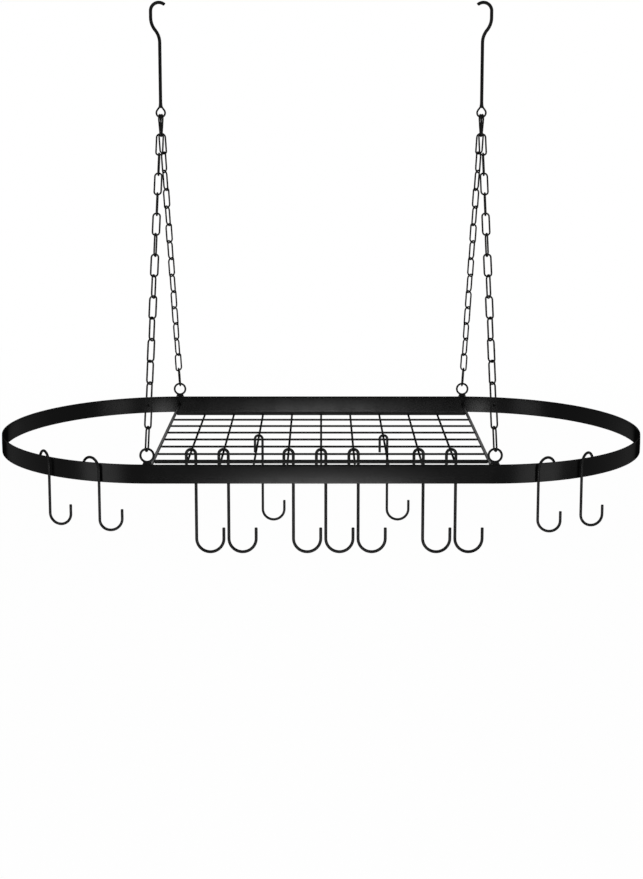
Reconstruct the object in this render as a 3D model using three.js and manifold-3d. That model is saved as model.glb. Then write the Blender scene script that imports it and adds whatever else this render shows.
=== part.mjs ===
// A hanging pot rack: an oval flat-bar ring with a welded wire grid across its middle, carried by
// four link chains from two ceiling hooks, with loose hooks on the grid wires and over the rim.
//
// Millimetres, +Z up, X along the oval, -Y towards the viewer. The origin is midway between the
// two ceiling hooks, at the height of the underside of their crowns, where the ceiling bears.

import * as THREE from "three";
import { mergeVertices } from "three/addons/utils/BufferGeometryUtils.js";
import Module from "manifold-3d";

// ---------------------------------------------------------------- driving dimensions

// The oval ring: flat bar on edge, two straight sides and two half-round ends.
const RING_LENGTH = 838;
const RING_WIDTH = 432;
const BAND_HEIGHT = 23;
const BAND_THICKNESS = 2.5;
const RING_END_FACETS = 48;

// The grid: long wires between a front and a rear rod, with cross wires under them. It hangs
// between two side rods, which reach the band at half its height.
const GRID_CELLS_ALONG = 10;
const GRID_CELLS_ACROSS = 7;
const GRID_PITCH_ALONG = 41.4;
const GRID_PITCH_ACROSS = 42.4;
const GRID_WIRE = 2.8;
const GRID_ROD = 4.2;
const GRID_ROD_DEPTH = 11.5; // the rods' centres below the ring's top edge
const CROSS_WIRE_OVERHANG = 1.5; // of a cross wire's end beyond the middle of the rod above it
const WELD_SINK = 0.4; // how far two welded wires are pressed into each other

// The eyes welded on the ring's top edge, one for each chain.
const EYE_WIRE = 2.4;
const EYE_OUTER = 18.5;
const EYE_NECK_HEIGHT = 1.7;
const EYE_NECK_FOOT = 12;
const EYE_NECK_TOP = 9.4;
const EYE_CLEARANCE = 10; // bare band between an eye's foot and the flat face beside it
const HANGER_SPACING = 413; // between the left and the right hangers, hook to hook and eye to eye

// The chains. Each link stands square to the one above it, but for its chain's own twist: the
// degrees that each link is turned beyond the plain quarter turns, from the first, nearly
// edge-on in the hook's loop, down to the last, nearly edge-on in the ring's eye.
const FRONT_TWISTS = [20, 10, 10, 5, 0, 0, 10, 0, 22, 16, 32, 25, 45, 42, 48, 61];
const REAR_TWISTS = [20, 18, 30, 50, 45, 50, 48, 43, 43, 44, 42, 34, 37, 47, 55, 75];
const LINKS_PER_CHAIN = FRONT_TWISTS.length;
const LINK_WIRE = 2.2;
const LINK_INNER_LENGTH = 28;
const LINK_OUTER_WIDTH = 11;
const LINK_SPREAD = 1.7; // half the spacing of the two chains where they share a hook's eye

// The ceiling hooks: a rod with an open crown, an offset neck, a shank and a closed eye.
const HOOK_ROD = 4.3;
const HOOK_CROWN_RADIUS = 10.6;
const HOOK_TIP_ANGLE = 44; // how far past the top of the crown the open end reaches
const HOOK_SIDE_RUN = 8.5;
const HOOK_OFFSET = 11.1; // from the crown's side in to the shank
const HOOK_OFFSET_RADIUS = 25;
const HOOK_SHANK = 81.5;
const LOOP_WIRE = 2.4;
const LOOP_RADIUS = 5.6;
const LOOP_NECK_RADIUS = 5;
const LOOP_NECK_GAP = 2.5; // between the centres of the loop's two strands at the neck
const LOOP_FLARE_ANGLE = 36;
const LOOP_WELD = 2; // how far the shank runs down over the loop's ends

// The hooks on the grid's cross wires: a front row of long ones, and two smaller ones in the
// grid's middle. Their places are counted in grid cells from the middle of the grid.
const LONG_HOOK = { wire: 3.9, crown: 12, mouth: 34.9, shank: 111, tail: 22, lip: 14.3 };
const SMALL_HOOK = { wire: 3.3, crown: 10, mouth: 28.7, shank: 95.4, tail: 18, lip: 12.1 };
const GRID_HOOK_SPOTS = [
  { name: "grid_hook_1", shape: LONG_HOOK, along: -4, across: -2 },
  { name: "grid_hook_2", shape: LONG_HOOK, along: -3, across: -2 },
  { name: "grid_hook_3", shape: SMALL_HOOK, along: -2, across: 0 },
  { name: "grid_hook_4", shape: LONG_HOOK, along: -1, across: -2 },
  { name: "grid_hook_5", shape: LONG_HOOK, along: 0, across: -2 },
  { name: "grid_hook_6", shape: LONG_HOOK, along: 1, across: -2 },
  { name: "grid_hook_7", shape: SMALL_HOOK, along: 2, across: 0 },
  { name: "grid_hook_8", shape: LONG_HOOK, along: 3, across: -2 },
  { name: "grid_hook_9", shape: LONG_HOOK, along: 4, across: -2 },
];

// The short hooks over the ring's rounded ends. Their lower bend is turned on the shank: 45
// degrees on the left pair, 135 on the right, so that all four mouths face the same way.
const RIM_HOOK = { wire: 3.3, crown: 27, mouth: 26.6, shank: 60.8, tail: 8, lip: 11.6 };
const RIM_HOOK_CROSSING = 18; // degrees between a crown and the band that it crosses
const RIM_HOOK_SPOTS = [
  { name: "rim_hook_left_outer", side: -1, around: 38.6, turn: 45 },
  { name: "rim_hook_left_inner", side: -1, around: 19.7, turn: 45 },
  { name: "rim_hook_right_inner", side: 1, around: 18.1, turn: 135 },
  { name: "rim_hook_right_outer", side: 1, around: 33.8, turn: 135 },
];

// Clearances.
const TOUCH_GAP = 0.3; // between two separate pieces that rest against each other
const PIVOT_GAP = 0.6; // at the chain ends, where the rack swings sideways
const LINK_WELD = 0.25; // how far the two links of a joined pair are pressed together

const WIRE_SIDES = 6;
const ROD_SIDES = 8;

// ---------------------------------------------------------------- finishes

const finishes = {
  hooks: new THREE.MeshStandardMaterial({ color: 0x0b0b0b, roughness: 0.35, metalness: 0.4 }),
  chain: new THREE.MeshStandardMaterial({ color: 0x121212, roughness: 0.42, metalness: 0.5 }),
  frame: new THREE.MeshStandardMaterial({ color: 0x161616, roughness: 0.45, metalness: 0.3 }),
  grid: new THREE.MeshStandardMaterial({ color: 0x131313, roughness: 0.45, metalness: 0.3 }),
};

// ---------------------------------------------------------------- joining solids

const wasm = await Module();
wasm.setup();

function solidFrom(geometry) {
  const bare = geometry.clone();
  bare.deleteAttribute("normal");
  bare.deleteAttribute("uv");
  const merged = mergeVertices(bare, 1e-4);
  return new wasm.Manifold(
    new wasm.Mesh({
      numProp: 3,
      vertProperties: new Float32Array(merged.getAttribute("position").array),
      triVerts: new Uint32Array(merged.getIndex().array),
    }),
  );
}

function geometryFrom(solid) {
  const mesh = solid.getMesh();
  const geometry = new THREE.BufferGeometry();
  geometry.setAttribute("position", new THREE.BufferAttribute(mesh.vertProperties, 3));
  geometry.setIndex(new THREE.BufferAttribute(mesh.triVerts, 1));
  geometry.computeVertexNormals();
  return geometry;
}

function joined(geometries) {
  return geometryFrom(geometries.map(solidFrom).reduce((sum, next) => sum.add(next)));
}

// ---------------------------------------------------------------- bent wire

// A wire's centreline, walked in straight runs and arcs. Each station keeps its place, the
// heading there and the side that the wire's section is laid out from.
class WirePath extends THREE.Curve {
  constructor(at, heading, left) {
    super();
    this.at = at.clone();
    this.heading = heading.clone().normalize();
    this.left = left.clone().normalize(); // what a positive bend turns towards
    this.side = this.left.clone();
    this.stations = [];
    this.mark();
  }

  mark() {
    this.stations.push({
      at: this.at.clone(),
      heading: this.heading.clone(),
      side: this.side.clone(),
    });
    return this;
  }

  run(length) {
    this.at.addScaledVector(this.heading, length);
    return this.mark();
  }

  bend(radius, degrees, steps) {
    const axis = this.heading.clone().cross(this.left);
    const centre = this.at.clone().addScaledVector(this.left, radius * Math.sign(degrees));
    const step = THREE.MathUtils.degToRad(degrees / steps);
    for (let i = 0; i < steps; i++) {
      this.at.sub(centre).applyAxisAngle(axis, step).add(centre);
      this.heading.applyAxisAngle(axis, step);
      this.left.applyAxisAngle(axis, step);
      this.side.applyAxisAngle(axis, step);
      this.mark();
    }
    return this;
  }

  // Turns the plane of the bends that follow about the wire's heading; the section stays.
  roll(degrees) {
    this.left.applyAxisAngle(this.heading, THREE.MathUtils.degToRad(degrees));
    return this;
  }

  stationAt(t) {
    return this.stations[Math.round(t * (this.stations.length - 1))];
  }

  // A tube is stepped from station to station, not by even lengths.
  getPointAt(t) {
    return this.stationAt(t).at.clone();
  }

  getTangentAt(t) {
    return this.stationAt(t).heading.clone();
  }

  // The section's own frames, in place of ones worked out from the curve: its first corner
  // stays on the stations' side.
  computeFrenetFrames() {
    const tangents = this.stations.map(({ heading }) => heading.clone());
    const normals = this.stations.map(({ side }) => side.clone());
    const binormals = tangents.map((heading, i) => heading.clone().cross(normals[i]));
    return { tangents, normals, binormals };
  }
}

function roundSection(diameter, sides) {
  return Array.from({ length: sides }, (_, i) => {
    const angle = (2 * Math.PI * i) / sides;
    return new THREE.Vector2(Math.cos(angle), Math.sin(angle)).multiplyScalar(diameter / 2);
  });
}

function openWire(path, diameter, sides) {
  return new THREE.ExtrudeGeometry(new THREE.Shape(roundSection(diameter, sides)), {
    extrudePath: path,
    steps: path.stations.length - 1,
  });
}

// A path that comes back to its start has no ends to cap, so its rings are joined directly.
function closedLoop(path, section) {
  const rings = path.stations.slice(0, -1);
  const sides = section.length;
  const positions = rings.flatMap(({ at, heading, side }) => {
    const up = heading.clone().cross(side);
    return section.flatMap((corner) =>
      at.clone().addScaledVector(side, corner.x).addScaledVector(up, corner.y).toArray(),
    );
  });
  const triangles = [];
  for (let r = 0; r < rings.length; r++) {
    const next = (r + 1) % rings.length;
    for (let s = 0; s < sides; s++) {
      const t = (s + 1) % sides;
      const a = r * sides + s;
      const b = r * sides + t;
      const c = next * sides + s;
      const d = next * sides + t;
      triangles.push(a, b, d, a, d, c);
    }
  }
  const geometry = new THREE.BufferGeometry();
  geometry.setAttribute("position", new THREE.Float32BufferAttribute(positions, 3));
  geometry.setIndex(triangles);
  geometry.computeVertexNormals();
  return geometry;
}

function straightWire(from, to, diameter, sides) {
  const along = to.clone().sub(from);
  const wire = new THREE.CylinderGeometry(diameter / 2, diameter / 2, along.length(), sides);
  const turn = new THREE.Quaternion().setFromUnitVectors(
    new THREE.Vector3(0, 1, 0),
    along.clone().normalize(),
  );
  wire.applyQuaternion(turn);
  const middle = from.clone().add(to).multiplyScalar(0.5);
  return wire.translate(middle.x, middle.y, middle.z);
}

const X = new THREE.Vector3(1, 0, 0);
const Y = new THREE.Vector3(0, 1, 0);
const DOWN = new THREE.Vector3(0, 0, -1);
const UP = new THREE.Vector3(0, 0, 1);

const rack = new THREE.Group();
rack.name = "pot_rack";

function addPiece(name, geometry, finish) {
  const mesh = new THREE.Mesh(geometry, finish);
  mesh.name = name;
  rack.add(mesh);
  return mesh;
}

// ---------------------------------------------------------------- ceiling hooks

// The heights below follow from the hook's bends, walked down from the crown.
const CROWN_Z = HOOK_ROD / 2 - HOOK_CROWN_RADIUS;
const OFFSET_ANGLE = THREE.MathUtils.radToDeg(
  Math.acos(1 - HOOK_OFFSET / (2 * HOOK_OFFSET_RADIUS)),
);
const OFFSET_RISE = 2 * HOOK_OFFSET_RADIUS * Math.sin(THREE.MathUtils.degToRad(OFFSET_ANGLE));
const SHANK_END_Z = CROWN_Z - HOOK_SIDE_RUN - OFFSET_RISE - HOOK_SHANK;
const LOOP_START_Z = SHANK_END_Z + LOOP_WELD;

// The straight flank of the loop that brings its round part onto the shank's line.
const FLARE = THREE.MathUtils.degToRad(LOOP_FLARE_ANGLE);
const LOOP_FLANK =
  (LOOP_RADIUS * Math.cos(FLARE) -
    LOOP_NECK_GAP / 2 -
    LOOP_NECK_RADIUS * (1 - Math.cos(FLARE))) /
  Math.sin(FLARE);
const LOOP_CENTRE_Z =
  LOOP_START_Z -
  LOOP_NECK_RADIUS * Math.sin(FLARE) -
  LOOP_FLANK * Math.cos(FLARE) -
  LOOP_RADIUS * Math.sin(FLARE);

function ceilingHookRod() {
  const tip = THREE.MathUtils.degToRad(90 - HOOK_TIP_ANGLE);
  const crownX = HOOK_CROWN_RADIUS - HOOK_OFFSET;
  const start = new THREE.Vector3(
    crownX + HOOK_CROWN_RADIUS * Math.cos(tip),
    0,
    CROWN_Z + HOOK_CROWN_RADIUS * Math.sin(tip),
  );
  const heading = new THREE.Vector3(-Math.sin(tip), 0, Math.cos(tip));
  const left = new THREE.Vector3(-Math.cos(tip), 0, -Math.sin(tip));
  const path = new WirePath(start, heading, left)
    .bend(HOOK_CROWN_RADIUS, HOOK_TIP_ANGLE, 2)
    .bend(HOOK_CROWN_RADIUS, 90, 5)
    .run(HOOK_SIDE_RUN)
    .bend(HOOK_OFFSET_RADIUS, OFFSET_ANGLE, 3)
    .bend(HOOK_OFFSET_RADIUS, -OFFSET_ANGLE, 3)
    .run(HOOK_SHANK);
  return openWire(path, HOOK_ROD, ROD_SIDES);
}

function ceilingHookLoop() {
  const start = new THREE.Vector3(-LOOP_NECK_GAP / 2, 0, LOOP_START_Z);
  const path = new WirePath(start, DOWN, X)
    .bend(LOOP_NECK_RADIUS, -LOOP_FLARE_ANGLE, 2)
    .run(LOOP_FLANK)
    .bend(LOOP_RADIUS, 180 + 2 * LOOP_FLARE_ANGLE, 10)
    .run(LOOP_FLANK)
    .bend(LOOP_NECK_RADIUS, -LOOP_FLARE_ANGLE, 2);
  return openWire(path, LOOP_WIRE, WIRE_SIDES);
}

// The crown bulges away from the middle of the rack on both sides, so the right hook is the
// left one turned half round.
function addCeilingHooks() {
  const geometry = joined([ceilingHookRod(), ceilingHookLoop()]);
  for (const [name, side] of [["ceiling_hook_left", -1], ["ceiling_hook_right", 1]]) {
    const hook = addPiece(name, geometry, finishes.hooks);
    hook.position.x = (side * HANGER_SPACING) / 2;
    hook.rotation.z = side > 0 ? Math.PI : 0;
  }
}

// ---------------------------------------------------------------- chains

const LINK_BEND = (LINK_OUTER_WIDTH - LINK_WIRE) / 2;
const LINK_SIDE = LINK_INNER_LENGTH + LINK_WIRE - 2 * LINK_BEND;
const LINK_MIDDLE_TO_END = (LINK_INNER_LENGTH + LINK_WIRE) / 2;

// Links 2 and 3, 4 and 5 and so on are joined in pairs; the first and the last stand alone.
const isJoinedToNext = (link) => link % 2 === 0 && link < LINKS_PER_CHAIN - 1;

function gapAfter(link) {
  if (isJoinedToNext(link)) return -LINK_WELD;
  return link === 1 ? PIVOT_GAP : TOUCH_GAP;
}

// How far a link's end wire sits past the centre of the round wire that it pulls on.
const TOP_SEAT = (LOOP_WIRE + LINK_WIRE) / 2 + PIVOT_GAP;
const BOTTOM_SEAT = (EYE_WIRE + LINK_WIRE) / 2 + PIVOT_GAP;

// Each link's middle, measured along the chain from the centre of the hook's loop wire.
const LINK_STATIONS = [LINK_MIDDLE_TO_END - TOP_SEAT];
for (let link = 1; link < LINKS_PER_CHAIN; link++) {
  LINK_STATIONS.push(LINK_STATIONS.at(-1) + LINK_INNER_LENGTH - gapAfter(link));
}
const CHAIN_SPAN = LINK_STATIONS.at(-1) + LINK_MIDDLE_TO_END - BOTTOM_SEAT;

// The chains spread from the loop wire down to the ring's middle line.
const LOOP_WIRE_Z = LOOP_CENTRE_Z - Math.sqrt(LOOP_RADIUS ** 2 - LINK_SPREAD ** 2);
const BAND_LINE_Y = (RING_WIDTH - BAND_THICKNESS) / 2;
const CHAIN_DROP = Math.sqrt(CHAIN_SPAN ** 2 - BAND_LINE_Y ** 2);
const EYE_RADIUS = (EYE_OUTER - EYE_WIRE) / 2;
const EYE_CENTRE_Z = LOOP_WIRE_Z - CHAIN_DROP - EYE_RADIUS;
const RING_TOP_Z = EYE_CENTRE_Z - EYE_OUTER / 2 - EYE_NECK_HEIGHT - TOUCH_GAP;

// One link about its own middle: its length along Z, and flat in the YZ plane.
function linkGeometry() {
  const start = new THREE.Vector3(0, LINK_BEND, -LINK_SIDE / 2);
  const path = new WirePath(start, UP, new THREE.Vector3(0, -1, 0))
    .run(LINK_SIDE)
    .bend(LINK_BEND, 180, 4)
    .run(LINK_SIDE)
    .bend(LINK_BEND, 180, 4);
  return closedLoop(path, roundSection(LINK_WIRE, WIRE_SIDES));
}

// The chain hangs along a straight line from the hook's loop wire to the eye on the ring.
function chainLine(side, end) {
  const hanger = (side * HANGER_SPACING) / 2;
  const top = new THREE.Vector3(hanger, 0, LOOP_WIRE_Z);
  const bottom = new THREE.Vector3(hanger, end * BAND_LINE_Y, LOOP_WIRE_Z - CHAIN_DROP);
  return { top, direction: bottom.sub(top).normalize() };
}

// The two chains of one hook share its loop, so their first links stand a little apart there
// and lean back to the hanger's own plane.
function linkMiddle(line, link, spread) {
  const middle = line.top.clone().addScaledVector(line.direction, LINK_STATIONS[link - 1]);
  if (link === 1) middle.x += spread / 2;
  return middle;
}

function placedLink(line, link, turnDegrees, spread) {
  const up = line.direction.clone().negate().multiplyScalar(2 * LINK_MIDDLE_TO_END);
  if (link === 1) up.x += spread;
  up.normalize();
  const across = new THREE.Vector3().crossVectors(up, X).normalize();
  const normal = new THREE.Vector3().crossVectors(across, up);
  const place = new THREE.Matrix4().makeBasis(normal, across, up);
  place.setPosition(linkMiddle(line, link, spread));
  const turn = new THREE.Matrix4().makeRotationZ(THREE.MathUtils.degToRad(turnDegrees));
  return linkGeometry().applyMatrix4(turn).applyMatrix4(place);
}

function linkName(chain, link) {
  const number = (value) => String(value).padStart(2, "0");
  if (link === 1) return `top_link_${chain}`;
  if (isJoinedToNext(link)) return `chain_${chain}_links_${number(link)}_${number(link + 1)}`;
  return `chain_${chain}_link_${number(link)}`;
}

function addChain(chain, side, end) {
  const line = chainLine(side, end);
  const twists = end < 0 ? FRONT_TWISTS : REAR_TWISTS;
  const spread = side * end * LINK_SPREAD;
  const turnOf = (link) => side * (90 * (link - 1) + twists[link - 1]);
  const linkAt = (link) => placedLink(line, link, turnOf(link), spread);
  for (let link = 1; link <= LINKS_PER_CHAIN; link++) {
    if (isJoinedToNext(link)) {
      addPiece(linkName(chain, link), joined([linkAt(link), linkAt(link + 1)]), finishes.chain);
      link++;
    } else {
      addPiece(linkName(chain, link), linkAt(link), finishes.chain);
    }
  }
}

const CHAINS = [
  { name: "left_front", side: -1, end: -1 },
  { name: "left_rear", side: -1, end: 1 },
  { name: "right_front", side: 1, end: -1 },
  { name: "right_rear", side: 1, end: 1 },
];

// ---------------------------------------------------------------- ring and eyes

const STRAIGHT = RING_LENGTH - RING_WIDTH;

// The band's middle line, once round at half its height. Each straight side has a stretch of
// its own between the eyes, so that the top edge has a clear flat face there.
function bandPath() {
  const start = new THREE.Vector3(-STRAIGHT / 2, -BAND_LINE_Y, RING_TOP_Z - BAND_HEIGHT / 2);
  const besideEye = (STRAIGHT - HANGER_SPACING + EYE_NECK_FOOT) / 2 + EYE_CLEARANCE;
  const path = new WirePath(start, X, Y);
  for (let half = 0; half < 2; half++) {
    path.run(besideEye).run(STRAIGHT - 2 * besideEye).run(besideEye);
    path.bend(BAND_LINE_Y, 180, RING_END_FACETS);
  }
  return path;
}

function addRing() {
  const corners = [[1, 1], [-1, 1], [-1, -1], [1, -1]];
  const section = corners.map(
    ([x, y]) => new THREE.Vector2((x * BAND_THICKNESS) / 2, (y * BAND_HEIGHT) / 2),
  );
  addPiece("oval_ring", closedLoop(bandPath(), section), finishes.frame);
}

// A round eye standing on a flared foot, its ring in the XZ plane.
function chainEyeGeometry() {
  const ring = new THREE.TorusGeometry(EYE_RADIUS, EYE_WIRE / 2, WIRE_SIDES, 16);
  ring.rotateX(Math.PI / 2);
  const footZ = -EYE_OUTER / 2 - EYE_NECK_HEIGHT;
  const neckZ = -EYE_OUTER / 2 + EYE_WIRE / 2;
  const neck = new THREE.Shape([
    new THREE.Vector2(-EYE_NECK_FOOT / 2, footZ),
    new THREE.Vector2(EYE_NECK_FOOT / 2, footZ),
    new THREE.Vector2(EYE_NECK_TOP / 2, neckZ),
    new THREE.Vector2(-EYE_NECK_TOP / 2, neckZ),
  ]);
  const depth = Math.min(BAND_THICKNESS, EYE_WIRE) - TOUCH_GAP;
  const foot = new THREE.ExtrudeGeometry(neck, { depth, bevelEnabled: false });
  foot.translate(0, 0, -depth / 2).rotateX(Math.PI / 2);
  return joined([ring, foot]);
}

function addChainEyes() {
  const geometry = chainEyeGeometry();
  for (const { name, side, end } of CHAINS) {
    const eye = addPiece(`chain_eye_${name}`, geometry, finishes.frame);
    eye.position.set((side * HANGER_SPACING) / 2, end * BAND_LINE_Y, EYE_CENTRE_Z);
  }
}

// ---------------------------------------------------------------- grid

const GRID_ROD_Z = RING_TOP_Z - GRID_ROD_DEPTH;
const CROSS_WIRE_Z = GRID_ROD_Z - (GRID_ROD + GRID_WIRE) / 2 + WELD_SINK;
const LONG_WIRE_Z = CROSS_WIRE_Z + GRID_WIRE - WELD_SINK;
const SIDE_ROD_X = (GRID_CELLS_ALONG / 2) * GRID_PITCH_ALONG;
const LONG_REACH = SIDE_ROD_X - GRID_ROD / 2 - TOUCH_GAP;
const CROSS_REACH = (GRID_CELLS_ACROSS / 2) * GRID_PITCH_ACROSS + CROSS_WIRE_OVERHANG;

// The side rods end against the band, which curves in beyond its straight sides.
function sideRodReach() {
  const facet = Math.cos(Math.PI / (2 * RING_END_FACETS));
  const inside = (RING_WIDTH / 2 - BAND_THICKNESS) * facet;
  const beyond = Math.max(0, SIDE_ROD_X + GRID_ROD / 2 - STRAIGHT / 2);
  return Math.sqrt(inside ** 2 - beyond ** 2) - TOUCH_GAP;
}

function acrossRing(x, z, reach, diameter) {
  const from = new THREE.Vector3(x, -reach, z);
  return straightWire(from, new THREE.Vector3(x, reach, z), diameter, WIRE_SIDES);
}

function alongRing(y, z, diameter) {
  const from = new THREE.Vector3(-LONG_REACH, y, z);
  return straightWire(from, new THREE.Vector3(LONG_REACH, y, z), diameter, WIRE_SIDES);
}

function addGrid() {
  const wires = [];
  for (let i = 1; i < GRID_CELLS_ALONG; i++) {
    const x = (i - GRID_CELLS_ALONG / 2) * GRID_PITCH_ALONG;
    wires.push(acrossRing(x, CROSS_WIRE_Z, CROSS_REACH, GRID_WIRE));
  }
  for (let i = 0; i <= GRID_CELLS_ACROSS; i++) {
    const isRod = i === 0 || i === GRID_CELLS_ACROSS;
    const y = (i - GRID_CELLS_ACROSS / 2) * GRID_PITCH_ACROSS;
    wires.push(alongRing(y, isRod ? GRID_ROD_Z : LONG_WIRE_Z, isRod ? GRID_ROD : GRID_WIRE));
  }
  addPiece("wire_grid", joined(wires), finishes.grid);
}

function addSideRods() {
  for (const [name, side] of [["grid_side_rod_left", -1], ["grid_side_rod_right", 1]]) {
    const rod = acrossRing(side * SIDE_ROD_X, GRID_ROD_Z, sideRodReach(), GRID_ROD);
    addPiece(name, rod, finishes.grid);
  }
}

// ---------------------------------------------------------------- loose hooks

// A hook about the top of its crown's centreline. Its crown runs along +X from the tail to the
// shank, and its mouth opens in the direction that the lower bend is turned to.
function looseHookGeometry({ wire, crown, mouth, shank, tail, lip }, turn = 0) {
  const start = new THREE.Vector3(-crown / 2, 0, -crown / 2 - tail);
  const path = new WirePath(start, UP, new THREE.Vector3(-1, 0, 0))
    .run(tail)
    .bend(crown / 2, -180, 6)
    .run(shank)
    .roll(-turn)
    .bend(mouth / 2, 180, 8)
    .run(lip);
  return openWire(path, wire, WIRE_SIDES);
}

function addGridHooks() {
  for (const { name, shape, along, across } of GRID_HOOK_SPOTS) {
    const hook = addPiece(name, looseHookGeometry(shape), finishes.hooks);
    hook.position.x = along * GRID_PITCH_ALONG;
    hook.position.y = across * GRID_PITCH_ACROSS;
    hook.position.z = CROSS_WIRE_Z + (GRID_WIRE + shape.wire) / 2 + TOUCH_GAP;
  }
}

// The place on the band's middle line, a given angle round from where the rounded end begins.
function rimSpot(side, around) {
  const angle = THREE.MathUtils.degToRad(around);
  return {
    x: side * (STRAIGHT / 2 + BAND_LINE_Y * Math.sin(angle)),
    y: -BAND_LINE_Y * Math.cos(angle),
  };
}

// A crown that crosses the band at a slant stands on the band's two corners, not on its own
// top. This is how far that lifts it: the most that any place along the crown asks for. The
// band's own curve brings its corner a little nearer to the tail.
function rimHookRise() {
  const radius = RIM_HOOK.crown / 2;
  const reach = RIM_HOOK.wire / 2 + TOUCH_GAP;
  const slant = THREE.MathUtils.degToRad(RIM_HOOK_CROSSING);
  let rise = 0;
  for (let degrees = 0; degrees < 90; degrees++) {
    const angle = THREE.MathUtils.degToRad(degrees);
    const along = radius * Math.sin(angle);
    const curve = (along * Math.cos(slant)) ** 2 / (2 * BAND_LINE_Y);
    const aside = Math.max(0, along * Math.sin(slant) - curve - BAND_THICKNESS / 2);
    if (aside >= reach) break;
    const above = Math.sqrt(reach ** 2 - aside ** 2);
    rise = Math.max(rise, above + radius * (1 - Math.cos(angle)));
  }
  return rise;
}

// The shank hangs outside the band and the tail inside it.
function addRimHooks() {
  const z = RING_TOP_Z + rimHookRise();
  for (const { name, side, around, turn } of RIM_HOOK_SPOTS) {
    const hook = addPiece(name, looseHookGeometry(RIM_HOOK, turn), finishes.hooks);
    const { x, y } = rimSpot(side, around);
    hook.position.set(x, y, z);
    const outward = around + RIM_HOOK_CROSSING;
    hook.rotation.z = THREE.MathUtils.degToRad(side < 0 ? -outward : 180 + outward);
  }
}

// ---------------------------------------------------------------- assembly

addCeilingHooks();
for (const { name, side, end } of CHAINS) addChain(name, side, end);
addRing();
addChainEyes();
addGrid();
addSideRods();
addGridHooks();
addRimHooks();

// Where the rack turns, as heights below the crowns: the loop wires of the ceiling hooks, the foot
// of the first links and the middle of the ring's eyes.
rack.userData = {
  hangerX: HANGER_SPACING / 2,
  loopWireZ: LOOP_WIRE_Z,
  sidePivotZ:
    LOOP_WIRE_Z -
    (LINK_STATIONS[0] + LINK_MIDDLE_TO_END) * (CHAIN_DROP / CHAIN_SPAN),
  eyeCentreZ: EYE_CENTRE_Z,
  ringTopZ: RING_TOP_Z,
};

export default rack;
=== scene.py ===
"""Looks of a hanging pot rack: an oval flat-bar rail with a welded wire grid, on four link chains.

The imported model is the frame. Every piece here is a closed surface worked out in millimetres, in
the frame of that model, and stands for one of its nodes or for a part of one.
"""

import logging
import math
from dataclasses import dataclass, replace
from enum import Enum

import bpy
import numpy as np
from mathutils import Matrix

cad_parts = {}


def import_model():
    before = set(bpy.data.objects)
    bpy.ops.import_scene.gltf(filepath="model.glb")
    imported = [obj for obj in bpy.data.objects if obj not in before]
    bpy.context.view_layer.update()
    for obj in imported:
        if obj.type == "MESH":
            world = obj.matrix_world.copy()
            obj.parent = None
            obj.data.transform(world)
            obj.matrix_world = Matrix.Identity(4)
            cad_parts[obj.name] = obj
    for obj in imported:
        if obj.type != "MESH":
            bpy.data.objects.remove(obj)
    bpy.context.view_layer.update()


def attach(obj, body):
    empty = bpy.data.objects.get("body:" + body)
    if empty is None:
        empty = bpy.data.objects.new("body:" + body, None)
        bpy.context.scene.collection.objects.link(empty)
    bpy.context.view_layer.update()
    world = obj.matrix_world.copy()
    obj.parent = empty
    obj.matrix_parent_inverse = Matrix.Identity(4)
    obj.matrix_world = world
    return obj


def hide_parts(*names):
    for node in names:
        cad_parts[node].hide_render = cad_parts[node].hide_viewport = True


LOG = logging.getLogger("pot_rack")

MM = 0.001
FILM_WIDTH = 36
X_AXIS = np.array([1.0, 0.0, 0.0])
Y_AXIS = np.array([0.0, 1.0, 0.0])
Z_AXIS = np.array([0.0, 0.0, 1.0])


class Body(Enum):
    """The moving bodies that pieces ride on, apart from the loose hooks' own."""

    CEILING = "ceiling_hooks"
    TOP_LINKS = "top_links"
    LEFT_CHAINS = "left_chains"
    RIGHT_CHAINS = "right_chains"
    RACK = "rack"


class Side(Enum):
    """The left or the right pair of hangers, as a sign along X."""

    LEFT = -1
    RIGHT = 1

    @property
    def word(self) -> str:
        """The side's name as node names spell it."""
        return self.name.lower()


class End(Enum):
    """The front or the rear rail that a chain comes down to, as a sign along Y."""

    FRONT = -1
    REAR = 1

    @property
    def word(self) -> str:
        """The end's name as node names spell it."""
        return self.name.lower()


# ---------------------------------------------------------------- surfaces


@dataclass
class Surface:
    """A closed surface: points in millimetres, and faces as rows of point numbers.

    Attributes:
        points: an array of n rows of x, y, z.
        faces: arrays of faces, one array for each number of corners.
        flat: for each array of faces, whether it is shaded flat.
    """

    points: np.ndarray
    faces: list[np.ndarray]
    flat: list[bool]

    def moved(self, turn: np.ndarray, place: np.ndarray) -> "Surface":
        """The surface turned by a 3 by 3 matrix and then moved to a place."""
        return Surface(self.points @ turn.T + place, self.faces, self.flat)

    def joined(self, others: list["Surface"]) -> "Surface":
        """Puts several closed shells into one surface.

        Args:
            others: the shells to add to this one.

        Returns:
            A surface with all the points, each face renumbered by the points before its shell.
        """
        points, faces, flat = [self.points], list(self.faces), list(self.flat)
        count = len(self.points)
        for other in others:
            points.append(other.points)
            faces += [rows + count for rows in other.faces]
            flat += other.flat
            count += len(other.points)
        return Surface(np.vstack(points), faces, flat)


@dataclass
class Centreline:
    """A wire's centreline: its stations, and at each one the heading and a side direction.

    Attributes:
        points: n rows of x, y, z in millimetres.
        headings: n unit vectors along the wire.
        sides: n unit vectors across it, which never jump from one station to the next.
    """

    points: np.ndarray
    headings: np.ndarray
    sides: np.ndarray

    @property
    def ups(self) -> np.ndarray:
        """The direction that completes each station's frame: heading cross side."""
        return np.cross(self.headings, self.sides)


@dataclass(frozen=True)
class Run:
    """A straight stretch of wire of one length, in a number of equal steps."""

    length: float
    steps: int = 1


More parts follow.
